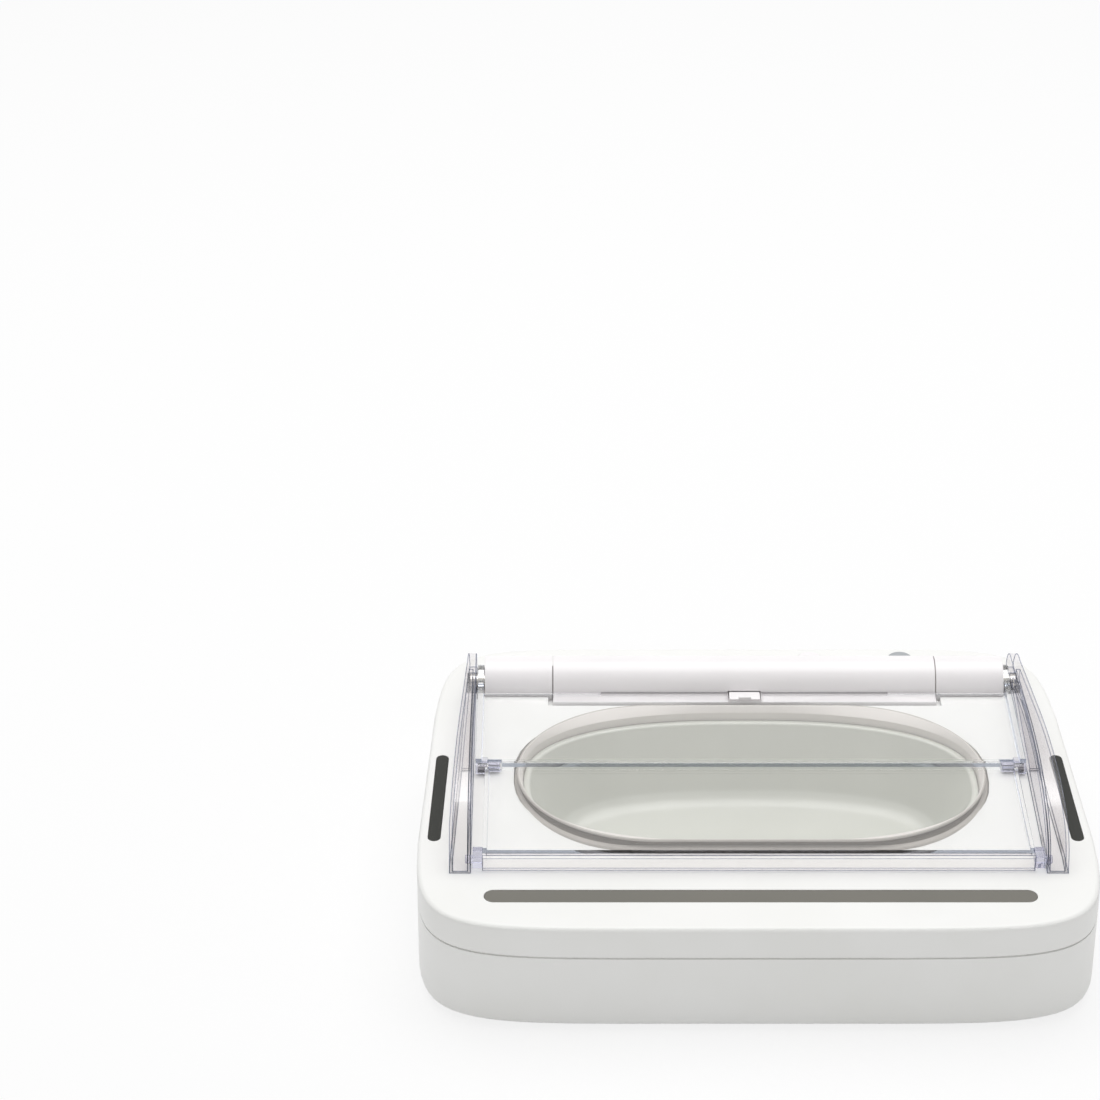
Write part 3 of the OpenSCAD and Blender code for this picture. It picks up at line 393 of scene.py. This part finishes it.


# %% [markdown]
# ## Wires and edge lines
#
# A round wire is a curve with a bevel depth, turned into a mesh. It makes the battery springs, and it also
# makes painted shade: the fine grey-blue line that a clear moulding shows along each edge, where its radius
# turns the light away, is a tinted bead. For such lines the sharp edges of the node are chained into long
# runs, because a bead at every short edge would show its ends, and each run lies inside the surface by the
# radius of the line.

# %% Helper: round wires
def round_wire(name, runs, radius, resolution, material):
    """A piece of round wire along each run of points."""
    curve = bpy.data.curves.new(name, "CURVE")
    curve.dimensions = "3D"
    curve.bevel_depth = radius
    curve.bevel_resolution = resolution
    curve.use_fill_caps = True
    for run in runs:
        line = curve.splines.new("POLY")
        line.points.add(len(run) - 1)
        for point, spot in zip(line.points, run):
            point.co = (*spot, 1.0)
    wire = bpy.data.objects.new("wire", curve)
    mesh = bpy.data.meshes.new_from_object(wire)
    bpy.data.objects.remove(wire)
    mesh.materials.clear()
    mesh.materials.append(material)
    mesh.shade_smooth()
    print(name, len(mesh.polygons), "faces")
    return put_in_scene(name, mesh)


# %% Helper: lines along the edges of a clear part
STRAIGHT_ON = 0.7


def chained(edges):
    """Runs of vertices along the edges, each as long as it keeps its way."""
    left, runs = dict.fromkeys(edges), []
    while left:
        run = list(left.popitem()[0].verts)
        for _ in range(2):
            while True:
                end = run[-1]
                way = (end.co - run[-2].co).normalized()
                ahead = [(way.dot((e.other_vert(end).co - end.co).normalized()), e)
                         for e in end.link_edges if e in left]
                along, edge = max(ahead, key=lambda a: a[0], default=(0.0, None))
                if along < STRAIGHT_ON:
                    break
                del left[edge]
                run.append(edge.other_vert(end))
            run.reverse()
        runs.append(run)
    return runs


def edge_lines(node, radius, chosen=lambda middle: True):
    """Lines of painted shade inside the node's sharp edges, or inside those whose middle is chosen."""
    bm = merged(node)
    sharp = [e for e in sharper_than(bm, 25.0) if chosen((e.verts[0].co + e.verts[1].co) / 2)]
    marked = set(sharp)

    def inside_of(v):
        outward = [sum((f.normal for f in e.link_faces), Vector()) for e in v.link_edges if e in marked]
        steps = [way * 2 / max(way.length_squared, 0.6) for way in outward]
        return v.co - sum(steps, Vector()) * radius / len(steps)

    runs = [[inside_of(v) for v in run] for run in chained(sharp)]
    bm.free()
    piece = round_wire(node + "_edges", runs, radius, 2, EDGE_LINE_PAINTED_SHADE)
    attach(piece, NODES[node]["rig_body"])


# %% [markdown]
# ## The white tub
#
# Two ABS shells meet at a shadow groove all round, and two sliding doors close the battery bays from below.
# The tube at the back, with its fixed ends, is polished a little brighter. All of them get a radius of a
# fifth or a quarter of a millimetre. The windows are flush plates of smoked acrylic, which lets infra-red
# light through. The front one is painted paler than the two at the sides: a painted reflection of the
# studio, which its flatter face mirrors more.

# %% Tub shells, tube ends, doors, windows and buttons
for node in ("upper_shell", "lower_shell"):
    rounded(node, WHITE_ABS, SHELL_RADIUS)
for node in ("left_tube_end", "right_tube_end", "hinge_sleeve", "sleeve_plugs"):
    rounded(node, BRIGHT_ABS, SOFT_RADIUS)
for node, smoke in (("front_window", FRONT_SMOKE_PAINTED_REFLECTION), ("left_window", SIDE_SMOKE), ("right_window", SIDE_SMOKE)):
    rounded(node, smoke, SHELL_RADIUS)
for node in ("left_battery_door", "right_battery_door"):
    rounded(node, WHITE_ABS, SHELL_RADIUS)
rounded("lid_button", BUTTON_GREY, SOFT_RADIUS, 3)
rounded("mode_button", BRIGHT_ABS, SOFT_RADIUS, 3)
print("tub pieces rounded")

# %% [markdown]
# ## Ring by ring
#
# The bowl, the seal, the cells, the screws and the feet are all made the same way: a circle of points is
# laid on an outline, and its edge is extruded ring by ring along a profile. An outline function says where
# a point of the circle goes, from its angle and the two numbers of the profile. The same rings would come
# from a spin, but an outline may be an oval too, and no ring can twist against its neighbour.

# %% Helper: rings along a profile
def rings_along(bm, profile, outline, points, closed=False):
    """Returns the rings, each a list of edges. The profile is in millimetres, and closed joins its ends."""
    angle = bm.verts.layers.float.get("angle") or bm.verts.layers.float.new("angle")
    verts = bmesh.ops.create_circle(bm, segments=points, radius=1.0)["verts"]
    for v in verts:
        v[angle] = math.atan2(v.co.y, v.co.x)
    rings = [list(dict.fromkeys(e for v in verts for e in v.link_edges))]
    for step, (across, height) in enumerate(profile + profile[:1] if closed else profile):
        if step:
            grown = bmesh.ops.extrude_edge_only(bm, edges=rings[-1])["geom"]
            verts = [g for g in grown if isinstance(g, bmesh.types.BMVert)]
            rings.append([g for g in grown if isinstance(g, bmesh.types.BMEdge)])
        for v in verts:
            v.co = outline(v[angle], across * MM, height * MM)
    if closed:
        first = dict.fromkeys(v for e in rings[0] for v in e.verts)
        bmesh.ops.remove_doubles(bm, verts=verts + list(first), dist=0.0001 * MM)
    else:
        for end in (rings[0], rings[-1]):
            bmesh.ops.edgeloop_fill(bm, edges=end)
    return rings


def piece_from(bm, name, material, crease=50.0):
    bmesh.ops.recalc_face_normals(bm, faces=bm.faces)
    mesh = bpy.data.meshes.new(name)
    bm.to_mesh(mesh)
    bm.free()
    mesh.materials.append(material)
    mesh.shade_smooth()
    mesh.set_sharp_from_angle(angle=math.radians(crease))
    print(name, len(mesh.polygons), "faces")
    return put_in_scene(name, mesh)


def eased(points, steps=6):
    """A smooth curve through the given points, with steps points for each of its stretches."""
    ends = [points[0]] + list(points) + [points[-1]]
    curve = []
    for k in range(1, len(ends) - 2):
        before, here, there, after = (Vector(q) for q in ends[k - 1:k + 3])
        for t in (i / steps for i in range(steps)):
            curve.append(0.5 * (2 * here + (there - before) * t
                                + (2 * before - 5 * here + 4 * there - after) * t ** 2
                                + (3 * here - before - 3 * there + after) * t ** 3))
    return [(p.x, p.y) for p in curve] + [points[-1]]


# %% [markdown]
# ## The bowl
#
# The bowl lifts out for washing. It follows a rounded oval, between an ellipse and a rectangle. Its profile
# runs up the outside, over the rim and down the inside, and the first number of each point says how far the
# ring lies inside the seal's edge.

# %% The bowl
SEAL_LOW, SEAL_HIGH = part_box("bowl_seal")
SEAL_HALF = ((SEAL_HIGH.x - SEAL_LOW.x) / 2, (SEAL_HIGH.y - SEAL_LOW.y) / 2)
SEAL_MIDDLE = (SEAL_HIGH.y + SEAL_LOW.y) / 2
ROUNDNESS = 2.5
OVAL_POINTS = 240
RIM_RADIUS = 0.22 * MM


def oval(angle, inset, height):
    def power(value):
        return math.copysign(abs(value) ** (2 / ROUNDNESS), value)
    return Vector(((SEAL_HALF[0] - inset) * power(math.cos(angle)),
                   SEAL_MIDDLE + (SEAL_HALF[1] - inset) * power(math.sin(angle)), height))


bowl_outside = eased([(29.0, 19.8), (22.5, 20.6), (19.0, 26.0), (8.0, 51.0)])
bowl_rim = [(7.4, 55.0), (4.4, 55.0), (4.4, 56.8), (6.4, 56.8)]
bowl_inside = eased([(7.4, 56.3), (9.8, 51.0), (19.3, 31.0), (22.6, 26.0), (27.8, 22.9), (35.8, 21.8)])
bm = bmesh.new()
rings = rings_along(bm, bowl_outside + bowl_rim + bowl_inside, oval, OVAL_POINTS)
first_of_rim = len(bowl_outside)
bevel(bm, [e for ring in rings[first_of_rim + 1:first_of_rim + 4] for e in ring], RIM_RADIUS, 3)
bowl = piece_from(bm, "food_bowl", BOWL_PLASTIC)
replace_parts(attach(bowl, "housing"), "bowl")

# %% [markdown]
# ## The seal
#
# The seal has a skirt, a groove and a lip. Above the deck its long sides run straight and its ends are half
# ellipses, fuller at the skirt than at the lip, while its inside meets the bowl's oval. Its outside is
# painted
# shade: darker copies of the same rubber, and the groove under the lip darkest, as the lip's painted shadow.

# %% The seal
LIP_STRAIGHT, SKIRT_STRAIGHT, WAIST = 0.415, 0.5, 61.5 * MM
OVAL_INSET, BLEND = 4.0 * MM, 1.5 * MM
SEAL_WALL, SEAL_RADIUS = 2.1 * MM, 0.15 * MM
SKIRT_TOP, LIP_FOOT = 60.25 * MM, 62.75 * MM


def seal_outline(angle, inset, height):
    """Straight sides and half-ellipse ends outside, and the bowl's oval from OVAL_INSET inwards."""
    plain = oval(angle, inset, height)
    half, deep = SEAL_HALF[0] - inset, SEAL_HALF[1] - inset
    straight = half * (LIP_STRAIGHT if height > WAIST else SKIRT_STRAIGHT)
    past = max(0.0, abs(plain.x) - straight) / (half - straight)
    outer = SEAL_MIDDLE + math.copysign(deep * math.sqrt(max(0.0, 1.0 - past ** 2)), math.sin(angle))
    share = min(1.0, (OVAL_INSET - inset) / BLEND)
    return Vector((plain.x, plain.y + (outer - plain.y) * share, height))


def faces_out(face):
    out = Vector((face.center.x / SEAL_HALF[0], (face.center.y - SEAL_MIDDLE) / SEAL_HALF[1], 0.0))
    return out.dot(face.normal) > -0.2 and out.length > 1 - SEAL_WALL / SEAL_HALF[1]


# the groove under the lip, whose faces get the lip's painted shadow
def in_painted_groove_shadow(face):
    return SKIRT_TOP < face.center.z < LIP_FOOT and faces_out(face)


def in_painted_outside_shade(face):
    return not SKIRT_TOP <= face.center.z <= LIP_FOOT and faces_out(face)


bm = bmesh.new()
rings = rings_along(bm, [(-0.2, 55.0), (-0.2, 59.0), (0.4, 59.8), (1.9, 60.1), (1.9, 62.1), (1.0, 62.9),
                         (1.3, 63.69), (2.1, 63.69), (4.0, 60.8), (4.0, 55.0)],
                    seal_outline, OVAL_POINTS, closed=True)
bevel(bm, [e for ring in rings[1:9] for e in ring], SEAL_RADIUS, 2)
seal = piece_from(bm, "soft_seal", SEAL_RUBBER)
# painted shade on the seal's outside, and painted shadow in the groove under the lip
also(seal, SEAL_SKIRT_PAINTED_SHADE, in_painted_outside_shade)
also(seal, SEAL_GROOVE_PAINTED_SHADOW, in_painted_groove_shadow)
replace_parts(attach(seal, "housing"), "bowl_seal")

# %% [markdown]
# ## Where the small parts are
#
# Screws, feet, cells and springs are small turned or wound parts under the tub and in the battery bays,
# several of a kind in one CAD node. A helper finds where each one is, by splitting the merged node into its
# separate solids, so that no place is written down twice.

# %% Helper: the separate solids of a node
def solids_of(node):
    """Lowest and highest corner of each separate solid, from left to right."""
    bm = merged(node)
    left, boxes = set(bm.verts), []
    while left:
        reached, waiting = set(), [left.pop()]
        while waiting:
            v = waiting.pop()
            reached.add(v)
            near = {e.other_vert(v) for e in v.link_edges} & left
            left -= near
            waiting += near
        corner = [[pick(v.co[axis] for v in reached) for axis in range(3)] for pick in (min, max)]
        boxes.append((Vector(corner[0]), Vector(corner[1])))
    bm.free()
    return sorted(boxes, key=lambda box: box[0].to_tuple())


def upright(low, high, arms=lambda angle: 1.0):
    """An outline round the upright axis of a solid. A negative reach is multiplied by arms(angle)."""
    x, y = (low.x + high.x) / 2, (low.y + high.y) / 2

    def outline(angle, across, height):
        reach = -across * arms(angle) if across < 0 else across
        return Vector((x + reach * math.cos(angle), y + reach * math.sin(angle), height))
    return outline


# %% [markdown]
# ## Screws and feet
#
# The case screws are pan-head screws with a cross recess, driven from below, so the profile starts in the
# recess, runs over the head and up the shank to a blunt point. A cross is a circle whose reach shrinks
# between four arms. The feet are soft rubber pads with a rounded rim and a shallow dish.

# %% Pan-head screws with a cross recess
def cross_arms(angle):
    return 0.25 + 0.75 * abs(math.cos(2 * angle)) ** 5


bm = bmesh.new()
for low, high in solids_of("case_screws"):
    head, bottom, top = (high.x - low.x) / 2 / MM, low.z / MM, high.z / MM
    rings_along(bm, [(-1.0, bottom + 1.1), (-1.7, bottom), (head * 0.86, bottom), (head, bottom + 0.35),
                     (head, bottom + 1.4), (1.4, bottom + 1.4), (1.4, top - 1.2), (0.5, top)],
                upright(low, high, cross_arms), 32)
screws = piece_from(bm, "cross_head_screws", STEEL, 32.0)
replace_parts(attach(screws, "housing"), "case_screws")

# %% Feet with a softened rim and a shallow dish
bm = bmesh.new()
for low, high in solids_of("rubber_feet"):
    radius, top = (high.x - low.x) / 2 / MM, high.z / MM
    rings_along(bm, [(radius - 2.2, 0.35), (radius - 1.8, 0.05), (radius - 1.4, 0.0), (radius - 0.9, 0.0),
                     (radius - 0.3, 0.15), (radius, 0.6), (radius, top)], upright(low, high), 48)
feet = piece_from(bm, "dished_feet", FOOT_RUBBER)
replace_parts(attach(feet, "housing"), "rubber_feet")

# %% [markdown]
# ## Cells and springs
#
# A size C cell is a steel can in a dark shrink jacket, which stops short of the cap at one end and of the
# flat base at the other. Can and jacket are one mesh, and the faces near the axis at either end are steel.
# A spring of bright wire that narrows from its first turn to its last presses each pair of cells together.

# %% Size C cells with crimped jackets
STEEL_REACH, CAP_LENGTH, BASE_LENGTH = 9.6 * MM, 2.2 * MM, 2 * MM


def lying(low, high):
    """An outline round the axis of a cell, which lies along Y."""
    x, z = (low.x + high.x) / 2, (low.z + high.z) / 2

    def outline(angle, across, along):
        return Vector((x + across * math.cos(angle), along, z + across * math.sin(angle)))
    return outline


def bare_steel(cells):
    """Chooses the faces near the axis at either end of a cell."""
    def chosen(face):
        low, high = min(cells, key=lambda box: abs(face.center.y - (box[0].y + box[1].y) / 2))
        off = math.hypot(face.center.x - (low.x + high.x) / 2, face.center.z - (low.z + high.z) / 2)
        return off < STEEL_REACH and not low.y + BASE_LENGTH < face.center.y < high.y - CAP_LENGTH
    return chosen


for node in ("left_cells", "right_cells"):
    cells = solids_of(node)
    bm = bmesh.new()
    for low, high in cells:
        r, back, front = (high.x - low.x) / 2 / MM, low.y / MM, high.y / MM
        rings_along(bm, [(r - 3.0, back), (r - 1.6, back), (r - 1.4, back + 0.3), (r - 0.4, back + 0.3),
                         (r, back + 0.8), (r, back + 1.6), (r, front - 3.2), (r, front - 2.4),
                         (r - 0.5, front - 1.9), (r - 3.0, front - 1.9), (4.4, front - 1.9),
                         (4.0, front - 1.7), (3.2, front - 1.6), (3.2, front - 0.4), (2.8, front)],
                    lying(low, high), 48)
    pack = also(piece_from(bm, node + "_jacketed", CELL_JACKET, 32.0), STEEL, bare_steel(cells))
    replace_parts(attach(pack, "housing"), node)

# %% Wound battery springs
WIRE, TURNS, STEPS, NARROWING = 0.35 * MM, 4, 160, 0.45
for side, (low, high) in zip(("left", "right"), solids_of("battery_springs")):
    middle, long = (low + high) / 2, high.y - low.y - 2 * WIRE
    widest = (high.x - low.x) / 2 - WIRE
    coil = []
    for k in range(STEPS + 1):
        turn, part = math.tau * TURNS * k / STEPS, k / STEPS
        reach = widest * (1.0 - NARROWING * part)
        coil.append((middle.x + reach * math.cos(turn), low.y + WIRE + long * part,
                     middle.z + reach * math.sin(turn)))
    spring = round_wire(side + "_wound_spring", [coil], WIRE, 3, STEEL)
    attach(spring, "housing")
    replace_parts(spring, "battery_springs")

# %% [markdown]
# ## The clear lid
#
# Both panels are clear sheet with moulded blocks round the middle pins, and the guide shoes are thick
# blocks too, so these faces take the blue-grey of a long stretch of plastic. The front rail is a folded lip
# as thin as a cheek's wall, so everything in front of a plane behind it is thin-walled, with fine lines of
# painted shade along its edges. The cut edge of the rear panel round the latch is painted in the white of
# the latch: a painted view of the latch through the clear edge, not clear plastic.

# %% Which faces of the lid are thick, thin or white
KNUCKLE_LOW, KNUCKLE_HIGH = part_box("right_mid_pin")
KNUCKLE_SIDE, KNUCKLE_ROUND = 1.2 * MM, 3.0 * MM
LATCH_LOW, LATCH_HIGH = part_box("release_latch")
NOTCH_GAP, NOTCH_FACE = 0.8 * MM, 40 * MM ** 2
RAIL_DEPTH, RAIL_LINE, CHEEK_LINE = 6.0 * MM, 0.16 * MM, 0.2 * MM
RAIL_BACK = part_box("front_panel")[0].y + RAIL_DEPTH


def anywhere(face):
    return True


def in_knuckle(face):
    return (abs(face.center.x) > KNUCKLE_LOW.x - KNUCKLE_SIDE
            and KNUCKLE_LOW.y - KNUCKLE_ROUND < face.center.y < KNUCKLE_HIGH.y + KNUCKLE_ROUND)


def in_front_rail(face):
    return face.center.y < RAIL_BACK


# the clear cut edge round the latch, painted white as a painted view of the latch through it
def in_latch_notch(face):
    return (face.area < NOTCH_FACE and abs(face.center.x) < LATCH_HIGH.x + NOTCH_GAP
            and face.center.y > LATCH_LOW.y - NOTCH_GAP)


# %% Clear lid
for node, thick in (("rear_panel", in_knuckle), ("front_panel", in_knuckle),
                    ("left_guide_shoe", anywhere), ("right_guide_shoe", anywhere)):
    piece = also(rounded(node, CLEAR, SOFT_RADIUS, cut=RAIL_BACK), THICK_CLEAR, thick)
    if node == "rear_panel":
        # painted view of the white latch through the clear edge round it
        also(piece, BRIGHT_ABS, in_latch_notch)
    if node == "front_panel":
        also(piece, THIN_CLEAR, in_front_rail)
rounded("release_latch", BRIGHT_ABS, SHELL_RADIUS)
paint(THIN_CLEAR, "left_cheek", "right_cheek")
# fine lines of painted shade along the clear edges
edge_lines("left_cheek", CHEEK_LINE)
edge_lines("right_cheek", CHEEK_LINE)
edge_lines("front_panel", RAIL_LINE, lambda middle: middle.y < RAIL_BACK)
print("clear pieces rounded")

# %% [markdown]
# ## Inside parts
#
# The motor, contacts, bearings and circuit boards are inside the tub and the sleeve, and the pins are plain
# rods. So the CAD nodes show as they are, in the right materials: a finer copy would add nothing to see.

# %% Inside parts
paint(STEEL, "left_hinge_pin", "right_hinge_pin", "left_mid_pin", "right_mid_pin", "battery_contacts",
      "gearmotor")
paint(BEARING, "left_bush", "right_bush", "drive_coupling")
paint(BOARD_GREEN, "main_board", "front_sensor_board", "left_sensor_board", "right_sensor_board",
      "button_switches")
print("inside parts painted")

# %% [markdown]
# ## Floor, lamps and background
#
# A product photograph has one big soft lamp above and behind the object and white card all round. The floor
# is white card too. To the camera the floor adds a little light of its own, so that it reads as plain white
# while it still keeps the soft shadow under the tub, and the background is brighter to the camera than it
# is to the part that it lights.

# %% Floor
FLOOR_GLOW = 0.8


def looked_at(owner):
    """One for rays from the camera, also through clear plastic or off a gloss, and nought for the rest."""
    ray = add(owner, "ShaderNodeLightPath").outputs
    direct = calculate(owner, "MAXIMUM", ray["Is Camera Ray"], ray["Is Transmission Ray"])
    return calculate(owner, "MAXIMUM", direct, ray["Is Glossy Ray"])


floor_mesh = bpy.data.meshes.new("floor")
bm = bmesh.new()
bmesh.ops.create_circle(bm, cap_ends=True, segments=64, radius=6.0)
bm.to_mesh(floor_mesh)
bm.free()
put_in_scene("floor", floor_mesh)
CARD = new_material("white card")
card = add(CARD, "ShaderNodeBsdfDiffuse", {"Color": linear("#f5f5f5")}).outputs[0]
glow = add(CARD, "ShaderNodeEmission", {"Color": linear("#ffffff"), "Strength": 1.0}).outputs[0]
share = calculate(CARD, "MULTIPLY", looked_at(CARD), FLOOR_GLOW)
floor_mesh.materials.append(finish_with(CARD, blend(CARD, share, card, glow)))
print("floor laid")

# %% Lamps
LAMPS_AIM = Vector((0.0, 0.0, 0.05))


def soft_lamp(name, place, width, height, power):
    lamp = bpy.data.lights.new(name, "AREA")
    lamp.shape = "RECTANGLE"
    lamp.size, lamp.size_y, lamp.energy = width, height, power
    holder = bpy.data.objects.new(name, lamp)
    holder.location = place
    holder.rotation_euler = (LAMPS_AIM - Vector(place)).to_track_quat("-Z", "Y").to_euler()
    bpy.context.scene.collection.objects.link(holder)


soft_lamp("top lamp", (0.0, 0.5, 1.9), 2.2, 1.6, 31.0)
soft_lamp("front lamp", (0.0, -2.2, 0.55), 2.6, 0.8, 4.0)

# %% World
LIGHTING_STRENGTH, SEEN_STRENGTH = 0.42, 1.0
world = bpy.data.worlds.new("studio")
world.use_nodes = True
world.node_tree.nodes.clear()
strength = add(world, "ShaderNodeMapRange", {
    "Value": looked_at(world), "To Min": LIGHTING_STRENGTH, "To Max": SEEN_STRENGTH}).outputs[0]
background = add(world, "ShaderNodeBackground", {"Color": linear("#ffffff"), "Strength": strength})
add(world, "ShaderNodeOutputWorld", {"Surface": background.outputs[0]})
bpy.context.scene.world = world
bpy.context.scene.view_settings.view_transform = "Standard"
print("world:", world.name)
